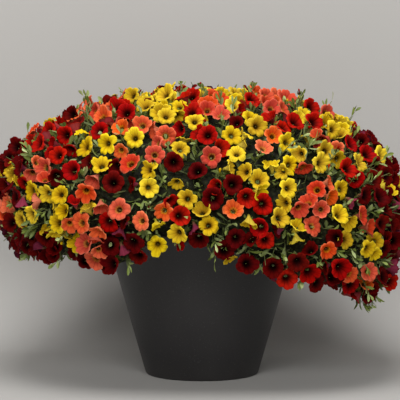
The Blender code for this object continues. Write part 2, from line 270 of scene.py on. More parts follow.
# Where each colour's clumps show in the picture, in its pixels
CLUMPS = {
    "yellow": (
        (45, 121), (84, 140), (100, 142), (127, 134), (105, 168), (37, 189), (74, 184), (14, 178),
        (123, 198), (56, 190), (45, 207), (62, 211), (88, 209), (25, 222), (57, 230), (66, 236),
        (136, 99), (163, 88), (202, 90), (229, 97), (165, 106), (178, 114), (195, 123), (179, 139),
        (220, 136), (246, 140), (253, 128), (239, 164), (245, 175), (220, 173), (149, 163),
        (150, 199), (158, 187), (175, 185), (187, 196), (207, 213), (180, 225), (209, 248),
        (162, 234), (249, 222), (305, 112), (322, 126), (334, 128), (359, 124), (309, 137),
        (282, 150), (279, 162), (295, 159), (307, 156), (322, 158), (346, 161), (363, 167),
        (263, 174), (284, 181), (256, 193), (389, 188), (278, 215), (289, 245), (302, 236),
        (351, 220), (348, 237), (357, 251), (375, 249), (330, 214),
    ),
    "orange": (
        (80, 109), (100, 116), (41, 173), (29, 203), (11, 206), (88, 188), (97, 195), (112, 198),
        (116, 211), (125, 144), (118, 126), (75, 226), (94, 226), (94, 248), (137, 226), (148, 123),
        (142, 144), (160, 147), (167, 166), (208, 150), (215, 104), (220, 125), (201, 191),
        (231, 201), (263, 99), (282, 98), (292, 108), (260, 141), (268, 152), (321, 142), (338, 145),
        (306, 178), (336, 177), (326, 187), (298, 200), (313, 205), (320, 226), (366, 220),
        (321, 248), (364, 274), (145, 239), (194, 152),
    ),
    "red": (
        (51, 136), (70, 134), (36, 147), (51, 156), (25, 181), (72, 192), (83, 153), (113, 156),
        (102, 126), (124, 113), (182, 88), (194, 111), (179, 125), (204, 135), (224, 159),
        (217, 183), (249, 106), (249, 205), (179, 209), (274, 120), (293, 131), (311, 112),
        (309, 125), (360, 146), (260, 160), (254, 206), (358, 153), (273, 256), (282, 279),
        (385, 296), (344, 296), (262, 232), (346, 172),
    ),
    "dark_red": (
        (18, 140), (10, 157), (24, 165), (3, 181), (90, 164), (116, 176), (52, 180), (20, 197),
        (72, 106), (120, 140), (141, 177), (174, 155), (188, 171), (202, 167), (218, 197),
        (250, 185), (7, 235), (36, 245), (26, 256), (55, 259), (78, 254), (111, 264), (127, 241),
        (130, 263), (143, 252), (193, 239), (226, 240), (236, 243), (250, 240), (252, 258),
        (269, 231), (255, 238), (256, 257), (270, 270), (307, 255), (331, 260), (328, 276),
        (361, 190), (350, 203), (375, 205), (377, 168), (385, 172), (374, 130), (364, 136),
        (393, 200), (387, 212), (341, 229), (393, 234), (388, 244), (386, 268), (374, 288),
    ),
}
COLOUR_SHARES = {"yellow": 0.24, "orange": 0.17, "red": 0.26, "dark_red": 0.33}

# How likely a bloom that the picture doesn't show has the same colour as others of its spray
OWN_COLOUR_SHARE = 0.25

# Petal colours from the throat outwards, linear: eye, throat, inner, middle, rim, back, and veins,
# whose colour also paints shade into the creases
# Towards the throat they darken partly as painted shade, and the rim is partly a painted highlight
PETALS = {
    "yellow": (
        (0.075, 0.035, 0.003), (0.34, 0.20, 0.003), (0.62, 0.38, 0.003), (0.78, 0.53, 0.004),
        (0.92, 0.70, 0.030), (0.66, 0.50, 0.040), (0.26, 0.14, 0.003),
    ),
    "orange": (
        (0.11, 0.045, 0.003), (0.62, 0.25, 0.006), (0.62, 0.036, 0.003), (0.78, 0.066, 0.010),
        (0.90, 0.18, 0.075), (0.68, 0.14, 0.070), (0.34, 0.012, 0.002),
    ),
    "red": (
        (0.010, 0.0010, 0.0006), (0.030, 0.0012, 0.0006), (0.17, 0.0020, 0.0007),
        (0.44, 0.0030, 0.0010), (0.56, 0.0090, 0.0030), (0.36, 0.045, 0.050),
        (0.07, 0.0008, 0.0005),
    ),
    "dark_red": (
        (0.004, 0.0003, 0.0003), (0.010, 0.0004, 0.0003), (0.040, 0.0006, 0.0005),
        (0.115, 0.0014, 0.0007), (0.180, 0.0030, 0.0020), (0.23, 0.028, 0.060),
        (0.022, 0.0004, 0.0003),
    ),
}
PETAL_FOOT = (0.20, 0.26, 0.04)
# Strength of the vein colour down the lobes' middles and, as painted shade, in their creases
VEIN_AND_CREASE_SHADE_STRENGTHS = {"yellow": 0.75, "orange": 0.90, "red": 0.90, "dark_red": 0.80}

# How much paler than its colour a bloom may be
PALENESS = {"yellow": 0.03, "orange": 0.07, "red": 0.004, "dark_red": 0.006}

# How far the hue of a bloom may lie from its colour's, as shares of the colour circle
HUE_RANGES = {
    "yellow": (-0.008, 0.008),
    "orange": (-0.005, 0.012),
    "red": (-0.001, 0.002),
    "dark_red": (-0.003, 0.002),
}


# Growth rule, the same as in the solid model


def soil_level():
    return POT_HEIGHT - SOIL_BELOW_RIM


def hole_floor():
    return soil_level() - HOLE_DEPTH


def wall_r(z):
    """Radius of the pot's outer face at height z."""
    return POT_BASE_R + (POT_RIM_R - POT_BASE_R) * z / POT_HEIGHT


def crown_places():
    turn = 2 * math.pi / CROWNS
    return [
        Vector((CROWN_RING_R * math.cos(turn * k), CROWN_RING_R * math.sin(turn * k), 0.0))
        for k in range(CROWNS)
    ]


def mound_points(azimuth, along):
    """Points of the mound. along is 0 at the top, 1 at the waist and 2 at the lower edge."""
    reach = 1 / np.hypot(np.cos(azimuth) / MOUND_REACH_X, np.sin(azimuth) / MOUND_REACH_Y)
    lump = np.sin(3 * azimuth + 1.9 * along + 0.7) + np.sin(5 * azimuth - 2.3 * along + 2.0)
    reach = reach * (1 + 0.5 * LUMP * lump * np.minimum(1, 2 * along))
    sweep = np.minimum(along, 1) * math.pi / 2
    below = np.maximum(along - 1, 0)
    power = 2 / MOUND_SQUARENESS
    radius = reach * np.sin(sweep) ** power * (1 - MOUND_TUCK * below**2)
    hang = np.sin(np.minimum(1, np.abs(np.cos(azimuth)) / LOW_EDGE_FULL_AT) * math.pi / 2)
    wave = np.sin(7 * azimuth + 1.1) + np.sin(11 * azimuth + 2.6)
    low_edge = LOW_EDGE_FRONT - LOW_EDGE_DROP * hang + 0.5 * EDGE_WAVE * wave
    rise = np.cos(sweep) ** power
    height = MOUND_WAIST + rise * (MOUND_TOP - MOUND_WAIST) - below * (MOUND_WAIST - low_edge)
    lean = MOUND_LEAN * (1 - rise) + LOW_EDGE_LEAN * below
    x = radius * np.cos(azimuth)
    y = radius * np.sin(azimuth)
    return np.stack([x, y, height - lean * x], axis=-1)


def unit(vectors):
    """One vector, or a row of them, at a length of 1."""
    return vectors / np.linalg.norm(vectors, axis=-1, keepdims=True)


def mound_samples(random):
    """Points and outward normals scattered evenly over the mound."""
    azimuth = random.uniform(0, 2 * math.pi, DRAWS)
    along = random.uniform(FIRST_ALONG, 2, DRAWS)
    step = 1e-4
    here = mound_points(azimuth, along)
    down = (mound_points(azimuth, along + step) - here) / step
    round_it = (mound_points(azimuth + step, along) - here) / step
    normal = np.cross(down, round_it)
    area = np.linalg.norm(normal, axis=1)
    kept = random.uniform(0, 1, DRAWS) < area * SAMPLES / area.sum()
    return here[kept], normal[kept] / area[kept, None]


def nearest(points, centres):
    """For each point, which centre is nearest and how far it is."""
    square = sum((points[:, None, axis] - centres[None, :, axis]) ** 2 for axis in range(3))
    owner = square.argmin(axis=1)
    return owner, np.sqrt(square[np.arange(len(points)), owner])


def spread_evenly(points, count):
    """Centres of equal shares of the points, and the share that each point belongs to."""
    picks = [int(points[:, 2].argmax())]
    room = np.full(len(points), np.inf)
    for _ in range(count - 1):
        room = np.minimum(room, np.linalg.norm(points - points[picks[-1]], axis=1))
        picks.append(int(room.argmax()))
    centres = points[picks]
    for _ in range(SPREADING_ROUNDS):
        owner, _ = nearest(points, centres)
        size = np.bincount(owner, minlength=count)
        sums = [np.bincount(owner, points[:, axis], count) for axis in range(3)]
        centres = np.stack(sums, axis=1) / size[:, None]
    owner, _ = nearest(points, centres)
    return centres, owner


def gap_points(points, faces):
    """Samples that lie furthest from every bloom, each the middle of a gap between blooms."""
    _, room = nearest(points, faces)
    picks = []
    for _ in range(GAPS_PER_BLOOM * len(faces)):
        pick = int(room.argmax())
        picks.append(pick)
        away = np.linalg.norm(points - points[pick], axis=1)
        room[away < GAP_SPACING] = 0
    return picks


def grow():
    """The sprays from the top of the mound down, each a dictionary of its blooms and gaps."""
    random = np.random.RandomState(SEED)
    points, normals = mound_samples(random)
    centres, _ = spread_evenly(points, BLOOMS)
    picks = nearest(centres, points)[0]
    places, outward = points[picks], normals[picks]
    facing = outward + random.normal(0, FACING_SPREAD, (BLOOMS, 3)) / math.sqrt(3)
    facing[:, :2] += FACING_OUT * unit(places[:, :2])
    facing += (0.0, -FACING_FRONT, FACING_LIFT)
    facing = unit(facing)
    short = np.maximum(0, FACING_LEAST - (facing * outward).sum(axis=1))
    facing += outward * short[:, None]
    facing = unit(facing)
    faces = places + outward * random.uniform(-DEPTH_SPREAD, DEPTH_SPREAD, (BLOOMS, 1))
    radii = BLOOM_R + random.uniform(-BLOOM_R_SPREAD, BLOOM_R_SPREAD, BLOOMS)
    spins = random.uniform(0, 2 * math.pi, BLOOMS)
    feet = places - outward * TUBE_LENGTH
    middles, owner = spread_evenly(feet, SPRAYS)
    gaps = gap_points(points, places)
    gap_owner = nearest(points[gaps] - normals[gaps] * TUBE_LENGTH, middles)[0]
    bed_owner = nearest(points - normals * TUBE_LENGTH, middles)[0]
    sprays = []
    for number, which in enumerate(np.argsort(-middles[:, 2]), 1):
        own = np.flatnonzero(owner == which)
        inward = -outward[own].mean(axis=0)
        inward = unit(inward)
        middle = feet[own].mean(axis=0)
        sprays.append(
            {
                "name": f"spray_{number:02d}",
                "heart": Vector(middle + inward * CORE_DEPTH / 2),
                "blooms": [
                    {
                        "face": faces[i], "facing": facing[i], "radius": radii[i],
                        "spin": spins[i], "foot": feet[i],
                    }
                    for i in own
                ],
                "gaps": [(points[g], normals[g]) for g, o in zip(gaps, gap_owner) if o == which],
                "bed": (points[bed_owner == which], normals[bed_owner == which]),
            }
        )
    return sprays


def plant_feet(sprays):
    """Gives each stem its foot in the nearest crown, on the side that it leans to."""
    crowns = crown_places()
    for spray in sprays:
        heart = spray["heart"]
        ground = Vector((heart.x, heart.y, 0.0))
        crown = min(crowns, key=lambda place: (place - ground).length)
        fan = ground.normalized() * math.atan2(ground.length, heart.z - FAN_CENTRE) * FAN_REACH
        spray["crown"] = crowns.index(crown)
        spray["foot"] = crown + (fan - crown) * FOOT_SPREAD
    pairs = [(a, b) for a, b in itertools.combinations(sprays, 2) if a["crown"] == b["crown"]]
    for _ in range(FOOT_ROUNDS):
        for a, b in pairs:
            apart = b["foot"] - a["foot"]
            push = apart.normalized() * max(0.0, FOOT_APART - apart.length) / 2
            a["foot"] = a["foot"] - push
            b["foot"] = b["foot"] + push


def stem_path(spray, count):
    """Points of the stem, from its planting hole up over the rim and out to the spray."""
    target = spray["heart"]
    ground = Vector((target.x, target.y, 0.0))
    foot = spray["foot"]
    low = soil_level() + STEM_CLEAR_OF_SOIL
    arch = max(STEM_ARCH + STEM_ARCH_RISE * (target.z - soil_level()), target.z)
    points = [Vector((foot.x, foot.y, hole_floor() + SEAT_GAP))]
    for k in range(count):
        t = k / (count - 1)
        out = 2 * t * (1 - t) * STEM_ARCH_AT + t * t
        place = foot.lerp(ground, out)
        place.z = (1 - t) ** 2 * low + 2 * t * (1 - t) * arch + t * t * target.z
        points.append(place)
    return np.array(points)


# Meshes


class Piece:
    """Gathers the points and faces of one piece. Each face has a finish, and each point four
    marks from 0 to 1: share of the way out or along, place across, tone, and how deep in shade
    it is, or on petals how pale."""

    def __init__(self, name, finishes):
        self.name = name
        self.finishes = finishes
        self.points = []
        self.faces = []
        self.which = []
        self.marks = []
        self.count = 0

    def add(self, points, faces, finish, marks):
        """faces is a list of arrays, one for each number of corners."""
        self.points.append(points.reshape(-1, 3))
        self.marks.append(marks.reshape(-1, 4))
        for corners in faces:
            self.faces.extend((corners + self.count).tolist())
            self.which.extend([self.finishes.index(finish)] * len(corners))
        self.count += points.size // 3

    def add_grid(self, points, finish, marks, inward=False):
        """points is rows by columns by 3, and the last column joins the first. The rings turn
        about the way that the rows go, and their faces look outward, or inward if asked."""
        rows, columns = points.shape[:2]
        near = np.arange(rows * columns).reshape(rows, columns)
        far = np.roll(near, -1, axis=1)
        if inward:
            near, far = far, near
        quads = np.stack([near[:-1], far[:-1], far[1:], near[1:]], axis=-1).reshape(-1, 4)
        self.add(points, [quads], finish, marks)

    def build(self, materials):
        points = np.clip(np.concatenate(self.points), *np.array(cad_box))
        mesh = bpy.data.meshes.new(self.name)
        mesh.from_pydata(points.tolist(), [], self.faces)
        for finish in self.finishes:
            mesh.materials.append(materials[finish])
        mesh.polygons.foreach_set("material_index", self.which)
        mesh.polygons.foreach_set("use_smooth", [True] * len(self.faces))
        marks = mesh.attributes.new("marks", "FLOAT_COLOR", "POINT")
        marks.data.foreach_set("color", np.concatenate(self.marks).astype(np.float32).ravel())
        mesh.update()
        made = bpy.data.objects.new(self.name, mesh)
        bpy.context.scene.collection.objects.link(made)
        return made


def turn_to(facing, spin):
    """Rotation that takes +Z to the facing, turned by spin about it."""
    turn = Vector(facing).to_track_quat("Z", "Y").to_matrix() @ Matrix.Rotation(spin, 3, "Z")
    return np.array(turn)


def even_marks(shape, along, across, tone, shade):
    """Marks for points in a shape, each one value or values that spread over the shape."""
    marks = np.empty((*shape, 4))
    marks[..., 0] = along
    marks[..., 1] = across
    marks[..., 2] = tone
    marks[..., 3] = shade
    return marks


def corolla(bloom, random):
    """Points and marks of one bloom, from the foot of its tube out to its lobed rim."""
    radius = bloom["radius"]
    columns = bloom["columns"]
    sinus, ruffle, bend_back = PETAL_FORMS[bloom["colour"]]
    turn = turn_to(bloom["facing"], bloom["spin"])
    column = np.arange(LOBES * columns)
    angle = 2 * math.pi * column / len(column)
    across = ((column + columns // 2) % columns) / (columns / 2) - 1
    lobe = (column + columns // 2) // columns % LOBES
    edge = np.abs(across)
    within = 1 - edge**2
    size = BLOOM_FILL * (1 + random.normal(0, LOBE_SIZE_SPREAD, LOBES)[lobe] * within)
    bend = (bend_back + random.normal(0, LOBE_BEND_SPREAD, LOBES)[lobe]) * within
    lift = random.normal(0, LOBE_LIFT_SPREAD, LOBES)[lobe] * within
    cut = sinus * random.uniform(*SINUS_RANGE) * np.exp(-(((1 - edge) / SINUS_WIDTH) ** 2))
    notch = TIP_NOTCH * np.exp(-((across / TIP_NOTCH_WIDTH) ** 2))
    rim = size * (1 - cut - notch)
    crease = np.exp(-(((1 - edge) / CREASE_WIDTH) ** 2))
    midline = np.exp(-((across / CREASE_WIDTH) ** 2))
    ruffle = ruffle * random.uniform(*RUFFLE_RANGE)
    cup = random.uniform(*CUP_RANGE)
    sway = random.uniform(*SWAY_RANGE)
    phase = random.uniform(0, 2 * math.pi, 3)
    coarse, fine = RIM_WAVES
    waves = np.sin(coarse * angle + phase[0]) + SECOND_WAVE * np.sin(fine * angle + phase[2])
    folds = SWELL * within - CREASE_DEPTH * crease - MIDLINE_DEPTH * midline
    rows = []
    for share, height in zip(LIMB_SHARES, LIMB_HEIGHTS):
        reach = share * (1 + (rim - 1) * min(1.0, share * EDGE_GAIN))
        level = height * cup + bloom["rise"] * share**2 + lift * share - bend * share**4
        level = level + ruffle * share * folds
        level = level + RIM_WAVE * ruffle * share**4 * waves
        level = level + sway * share**2 * np.sin(2 * angle + phase[1])
        rows.append(np.stack([reach * np.cos(angle), reach * np.sin(angle), level], axis=-1))
    limb = np.array(rows) * radius @ turn.T + bloom["face"]
    start = limb[0].mean(axis=0)
    middle = start - bloom["facing"] * TUBE_STRAIGHT * radius
    circle = np.stack([np.cos(angle), np.sin(angle), 0 * angle], axis=-1) * radius @ turn.T
    tube = []
    for k, share in enumerate(TUBE_SHARES):
        t = 1 - k / len(TUBE_SHARES)
        place = (1 - t) ** 2 * start + 2 * t * (1 - t) * middle + t * t * bloom["foot"]
        back = t * (middle - bloom["foot"]) + (1 - t) * (start - middle)
        swing = np.array(Vector(bloom["facing"]).rotation_difference(Vector(back)).to_matrix())
        tube.append(place + share * circle @ swing.T)
    points = np.concatenate([np.array(tube), limb])
    along = np.concatenate([np.linspace(0.0, 0.10, len(TUBE_SHARES)), LIMB_SHARES])[:, None]
    tone, paleness = random.uniform(size=2)
    return points, even_marks(points.shape[:2], along, across * 0.5 + 0.5, tone, paleness)


def frame_along(direction):
    """Two unit vectors across the direction."""
    direction = unit(direction)
    helper = np.array((0.0, 0.0, 1.0)) if abs(direction[2]) < 0.9 else np.array((1.0, 0.0, 0.0))
    side = unit(np.cross(direction, helper))
    return side, np.cross(direction, side)


def ring_about(direction, count, spin=0.0):
    """Unit vectors across the direction, evenly all round."""
    side, other = frame_along(direction)
    turns = spin + 2 * math.pi * np.arange(count) / count
    return np.cos(turns)[:, None] * side + np.sin(turns)[:, None] * other


def add_tube(piece, path, radii, sides, finish, tone, shade=0.0):
    """Rings along the path, joined to a tube."""
    ring = ring_about(path[-1] - path[0], sides)
    points = path[:, None, :] + np.array(radii)[:, None, None] * ring
    along = np.linspace(0, 1, len(path))[:, None]
    piece.add_grid(points, finish, even_marks(points.shape[:2], along, 0.5, tone, shade))


def bloom_discs(sprays):
    """Middles, directions and radii of all the blooms."""
    blooms = [bloom for spray in sprays for bloom in spray["blooms"]]
    return [np.array([bloom[part] for bloom in blooms]) for part in ("face", "facing", "radius")]


def clear_of_blooms(points, blooms):
    """Which leaves have none of their points in or right in front of a bloom."""
    faces, facing, radii = blooms
    apart = points[:, :, None] - faces
    ahead = (apart * facing).sum(axis=-1)
    across = (apart**2).sum(axis=-1) - ahead**2
    limb = (ahead > -CLEAR_BEHIND) & (across < (CLEAR_R * radii) ** 2)
    throat = (ahead > -THROAT_DEPTH * radii) & (across < (THROAT_R * radii) ** 2)
    return ~((limb | throat) & (ahead < CLEAR_AHEAD)).any(axis=(1, 2))


def add_leaves(piece, roots, directions, lengths, random, shade, blooms=None):
    """Narrow leaves, widest past the middle, folded along the rib and bent down to the tip.
    Where the blooms are given, leaves that would cross one are left out."""
    count = len(roots)
    directions = unit(directions)
    side = unit(np.cross(directions, random.normal(0, 1, (count, 3))))
    up = np.cross(side, directions)
    widths = random.uniform(*LEAF_HALF_WIDTHS, count)
    curl = random.uniform(*LEAF_CURL, count)
    tone = random.uniform(0, 1, count)
    rows = []
    for station, width in zip(LEAF_STATIONS, LEAF_WIDTHS):
        middle = roots + directions * (lengths * station)[:, None]
        middle = middle - up * (curl * lengths * station**2)[:, None]
        reach = (widths * width)[:, None]
        for edge in (-1, 0, 1):
            rows.append(middle + side * edge * reach + up * abs(edge) * LEAF_FOLD * reach)
    rows.append(roots + directions * lengths[:, None] - up * (curl * lengths)[:, None])
    points = np.stack(rows, axis=1)
    if blooms is not None:
        kept = clear_of_blooms(points[:, LEAF_TEST_POINTS], blooms)
        points, tone, shade, count = points[kept], tone[kept], shade[kept], int(kept.sum())
    last = 3 * len(LEAF_STATIONS)
    quads = [
        (3 * row + edge, 3 * row + edge + 1, 3 * row + edge + 4, 3 * row + edge + 3)
        for row in range(len(LEAF_STATIONS) - 1)
        for edge in (0, 1)
    ]
    tips = [(last - 3, last - 2, last), (last - 2, last - 1, last)]
    along = np.repeat((*LEAF_STATIONS, 1.0), (3, 3, 3, 3, 1))
    across = np.array((0.0, 0.5, 1.0) * len(LEAF_STATIONS) + (0.5,))
    marks = even_marks((count, last + 1), along, across, tone[:, None], shade[:, None])
    base = (np.arange(count) * (last + 1))[:, None, None]
    faces = [(base + np.array(one)).reshape(-1, len(one[0])) for one in (quads, tips)]
    piece.add(points, faces, "leaf", marks)


def spread_about(normals, tilt, random):
    """Directions leaning away from the normals by about the tilt, all round."""
    loose = random.normal(0, 1, normals.shape)
    loose -= normals * (loose * normals).sum(axis=1)[:, None]
    loose = unit(loose)
    tilt = np.asarray(tilt)[:, None]
    return normals * np.cos(tilt) + loose * np.sin(tilt)


def stations(root, direction, heights):
    """Points over the root at the heights, in the direction."""
    return root + direction * np.array(heights)[:, None]


def add_calyx(piece, bloom, random):
    """The green cup at the foot of the tube, with five narrow sepals."""
    foot = bloom["foot"]
    along = bloom["face"] - bloom["facing"] * THROAT_FOOT * bloom["radius"] - foot
    size = min(1.0, np.linalg.norm(along) / CALYX_ROOM)
    along = unit(along)
    path = stations(foot, along * size, CALYX_HEIGHTS)
    # The calyx takes a little painted shade, and its sepals slightly less
    add_tube(piece, path, CALYX_RADII, 7, "leaf", random.uniform(), 0.25)
    outward = ring_about(along, LOBES, bloom["spin"])
    roots = foot + along * SEPAL_HEIGHT * size + outward * SEPAL_ROOT_R
    directions = along + outward * random.uniform(*SEPAL_SPREAD)
    lengths = random.uniform(*SEPAL_LENGTHS, LOBES) * size
    add_leaves(piece, roots, directions, lengths, random, np.full(LOBES, 0.2))


def add_pistil(piece, bloom, random):
    """The small pale knob in the throat, darkened by painted shade."""
    middle = bloom["face"] - bloom["facing"] * PISTIL_DEPTH * bloom["radius"]
    path = stations(middle, bloom["facing"], PISTIL_HEIGHTS)
    add_tube(piece, path, PISTIL_RADII, 6, "leaf", random.uniform(), 0.6)


def add_bud(piece, root, direction, colour, random):
    """A closed bud: a slim green calyx and a club of rolled petals."""
    length = random.uniform(*BUD_LENGTHS)
    radius = random.uniform(*BUD_RADII)
    path = stations(root, direction, np.array(BUD_SHARES) * length)
    add_tube(piece, path, np.array(BUD_WIDTHS) * radius, 8, colour, 0.5)
    cup = stations(root, direction, BUD_CUP_HEIGHTS)
    # Its cup and sepals take a touch of painted shade
    add_tube(piece, cup, BUD_CUP_RADII, 7, "leaf", random.uniform(), 0.1)
    outward = ring_about(direction, LOBES)
    roots = root + direction * BUD_SEPAL_HEIGHT + outward * BUD_SEPAL_ROOT_R
    lengths = random.uniform(*BUD_SEPAL_LENGTHS, LOBES)
    directions = direction + outward * BUD_SEPAL_SPREAD
    add_leaves(piece, roots, directions, lengths, random, np.full(LOBES, 0.1))


def add_thicket(piece, spray):
    """The mass of shoots and old leaves behind the blooms, as a lumpy closed hull, near-black with
    painted shade.
    """
    points, normals = spray["bed"]
    bm = bmesh.new()
    for depth in THICKET_DEPTHS:
        layer = points - normals * depth
        middle = layer.mean(axis=0)
        for place in (middle + (layer - middle) * THICKET_OVERLAP)[::THICKET_STEP]:
            bm.verts.new(place)
    hull = bmesh.ops.convex_hull(bm, input=bm.verts)
    loose = [v for v in hull["geom_interior"] if isinstance(v, bmesh.types.BMVert)]
    bmesh.ops.delete(bm, geom=loose, context="VERTS")
    bmesh.ops.subdivide_edges(bm, edges=bm.edges, cuts=1, use_grid_fill=True)
    bmesh.ops.recalc_face_normals(bm, faces=bm.faces)
    bmesh.ops.triangulate(bm, faces=bm.faces)
    bm.verts.index_update()
    bm.normal_update()
    places = []
    for v in bm.verts:
        wave = math.sin(THICKET_WAVES[0] * v.co.x + THICKET_WAVES[1] * v.co.z)
        places.append(v.co + v.normal * THICKET_LUMP * wave)
    places = np.array(places)
    faces = np.array([[v.index for v in face.verts] for face in bm.faces])
    bm.free()
    piece.add(places, [faces], "thicket", even_marks((len(places),), 0.5, 0.5, 0.5, 1.0))


# Colours of the blooms


def picture_px(place):
    """Where a point shows in the picture, in its pixels."""
    depth = place[1] - CAMERA_PLACE[1]
    column = FRAME_PX / 2 + FOCAL_PX * (place[0] - CAMERA_PLACE[0]) / depth
    angle = math.atan2(CAMERA_PLACE[2] - place[2], depth) - CAMERA_PITCH
    return column, FRAME_PX / 2 + FOCAL_PX * math.tan(angle)


def add_hidden_blooms(sprays, random):
    """Smaller blooms, half open or side-on, in some of the gaps between the others."""
    for spray in sprays:
        for bloom in spray["blooms"]:
            bloom["columns"] = LOBE_COLUMNS
            bloom["rise"] = random.uniform(*OPEN_RISE)
            bloom["facing"] = unit(bloom["facing"] + random.normal(0, WOBBLE, 3))
        gaps, spray["gaps"] = spray["gaps"], []
        for place, normal in gaps:
            if random.uniform() > HIDDEN_SHARE:
                spray["gaps"].append((place, normal))
                continue
            out = unit(normal + (0.0, -FACING_FRONT, 0.0))
            spray["blooms"].append(
                {
                    "face": place - normal * random.uniform(*HIDDEN_DEPTH),
                    "facing": spread_about(out[None], [random.uniform(*HIDDEN_TILT)], random)[0],
                    "radius": random.uniform(*HIDDEN_R),
                    "spin": random.uniform(0, 2 * math.pi),
                    "foot": place - normal * HIDDEN_TUBE,
                    "columns": LOBE_COLUMNS_HIDDEN,
                    "rise": random.uniform(*HIDDEN_RISE),
                }
            )


def choose_colours(sprays, random):
    """Blooms on the side that the picture shows take the colour of the clump that they stand
    in. The rest are mixed in the same shares, a little bunched."""
    names = list(COLOUR_SHARES)
    shares = list(COLOUR_SHARES.values())
    marks = [(name, x, y) for name, places in CLUMPS.items() for x, y in places]
    for spray in sprays:
        own = names[random.choice(len(names), p=shares)]
        for bloom in spray["blooms"]:
            drawn = names[random.choice(len(names), p=shares)]
            bloom["colour"] = own if random.uniform() < OWN_COLOUR_SHARE else drawn
            column, row = picture_px(bloom["face"])
            name, x, y = min(marks, key=lambda m: math.hypot(m[1] - column, m[2] - row))
            shown = bloom["face"][1] < 0 or bloom["facing"][1] < -0.2
            if shown and math.hypot(x - column, y - row) < PATCH_REACH_PX:
                bloom["colour"] = name


# Dressing of one spray


def dress_spray(spray, discs, materials, random):
    """Two pieces in place of one spray: its blooms, and its leaves with stems, buds and hull."""
    colours = sorted({bloom["colour"] for bloom in spray["blooms"]})
    blooms = Piece(spray["name"] + "_blooms", [*colours, "leaf"])
    leaves = Piece(spray["name"] + "_leaves", ["leaf", "stem", "thicket", *colours])
    add_thicket(leaves, spray)
    heart = np.array(spray["heart"])
    for bloom in spray["blooms"]:
        points, marks = corolla(bloom, random)
        blooms.add_grid(points, bloom["colour"], marks, inward=True)
        add_pistil(blooms, bloom, random)
        add_calyx(leaves, bloom, random)
        face, foot = bloom["face"], bloom["foot"]
        bend = foot - (foot - heart) * STALK_BEND + (face - heart) * STALK_SWING
        path = np.array([heart, bend, foot - (face - foot) * STALK_SINK])
        add_tube(leaves, path, STALK_RADII, 5, "stem", random.uniform(), 0.5)
    add_tufts(leaves, spray, discs, colours, heart, random)
    points, normals = spray["bed"]
    for count, depths, tilts, stretch, full_shade, culled in LEAF_LAYERS:
        picks = random.randint(0, len(points), count)
        depth = random.uniform(*depths, count)
        roots = points[picks] - normals[picks] * depth[:, None]
        tilt = random.uniform(*tilts, count)
        lengths = random.uniform(*LEAF_LENGTHS, count) * stretch
        directions = spread_about(normals[picks], tilt, random)
        shade = np.clip(depth / full_shade, 0, 1)
        add_leaves(leaves, roots, directions, lengths, random, shade, discs if culled else None)
    path = stem_path(spray, STEM_POINTS)
    radii = np.linspace(*STEM_RADII, len(path))
    add_tube(leaves, path, radii, 8, "stem", random.uniform(), 0.6)
    for piece in (blooms, leaves):
        made = piece.build(materials)
        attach(made, "root")
        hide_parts(spray["name"])


def add_tufts(piece, spray, discs, colours, heart, random):
    """Shoot tips in the gaps between the blooms, each a twig with leaves all round it."""
    for place, normal in spray["gaps"]:
        base = place - normal * random.uniform(*SHOOT_DEPTH)
        reach = random.uniform(*SHOOT_LENGTHS)
        if random.uniform() < LONG_SHOOT_SHARE:
            reach += LONG_SHOOT
        lean = unit(normal + random.normal(0, SHOOT_LEAN, 3))
        top = base + lean * reach
        path = np.array([heart, heart + (base - heart) * SHOOT_BEND, base, top])
        add_tube(piece, path, SHOOT_RADII, 5, "stem", random.uniform(), 0.5)
        height = np.linspace(0.1, 1.0, TUFT_LEAVES)
        height = height + random.uniform(-TUFT_JITTER, TUFT_JITTER, TUFT_LEAVES)
        roots = base + lean * (reach * height)[:, None]
        tilt = TUFT_TILT[0] - TUFT_TILT[1] * height
        tilt = tilt + random.uniform(-TUFT_TILT_JITTER, TUFT_TILT_JITTER, TUFT_LEAVES)
        stretch = TUFT_STRETCH[0] - TUFT_STRETCH[1] * height
        lengths = random.uniform(*LEAF_LENGTHS, TUFT_LEAVES) * stretch
        axes = np.repeat(lean[None], TUFT_LEAVES, axis=0)
        shade = np.clip(TUFT_SHADE - height, 0, 1)
        directions = spread_about(axes, tilt, random)
        add_leaves(piece, roots, directions, lengths, random, shade, discs)
        if random.uniform() < BUD_SHARE:
            colour = colours[random.randint(len(colours))]
            side = spread_about(axes[:1], [random.uniform(*BUD_TILT)], random)[0]
            add_bud(piece, top - lean * BUD_SINK, side, colour, random)


# Pot and soil


def turned_piece(name, profile, sides, finish):
    """A closed piece turned about Z. The profile goes from the axis below to the axis above."""
    piece = Piece(name, [finish])
    turns = 2 * math.pi * np.arange(sides) / sides
    ring = np.stack([np.cos(turns), np.sin(turns), 0 * turns], axis=-1)
    points = np.array([ring * r + (0, 0, z) for r, z in profile])
    along = np.linspace(0, 1, len(profile))[:, None]
    piece.add_grid(points, finish, even_marks(points.shape[:2], along, 0.5, 0.5, 0.0))
    return piece


def arc(middle_r, middle_z, radius, first, last, count):
    """Profile points round a corner, from one angle to another, in degrees."""
    turns = [math.radians(first + (last - first) * k / (count - 1)) for k in range(count)]
    return [(middle_r + radius * math.cos(a), middle_z + radius * math.sin(a)) for a in turns]


def dress_pot(materials):
    """The pot's shell with a rounded rim and foot."""
    lean = math.degrees(math.atan2(POT_RIM_R - POT_BASE_R, POT_HEIGHT))
    lip = POT_WALL / 2
    rim = arc(POT_RIM_R - lip, POT_HEIGHT - lip, lip, 180, -lean, 12)
    foot_r = POT_BASE_R - POT_FOOT_ROUND + 0.0008
    foot = arc(foot_r, POT_FOOT_ROUND, POT_FOOT_ROUND, -lean, -90, 8)
    levels = np.linspace(POT_HEIGHT - 0.02, 0.012, 10)
    wall = [(wall_r(z), z) for z in levels]
    inner = [(wall_r(z) - POT_WALL, z) for z in levels[::-1]]
    profile = [(AXIS_R, POT_FLOOR), (inner[0][0] - 0.004, POT_FLOOR), *inner, *rim, *wall, *foot,
               (0.03, 0.0), (AXIS_R, 0.0)]
    pot = turned_piece("pot_shell", profile[::-1], 128, "pot").build(materials)
    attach(pot, "root")
    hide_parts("pot")


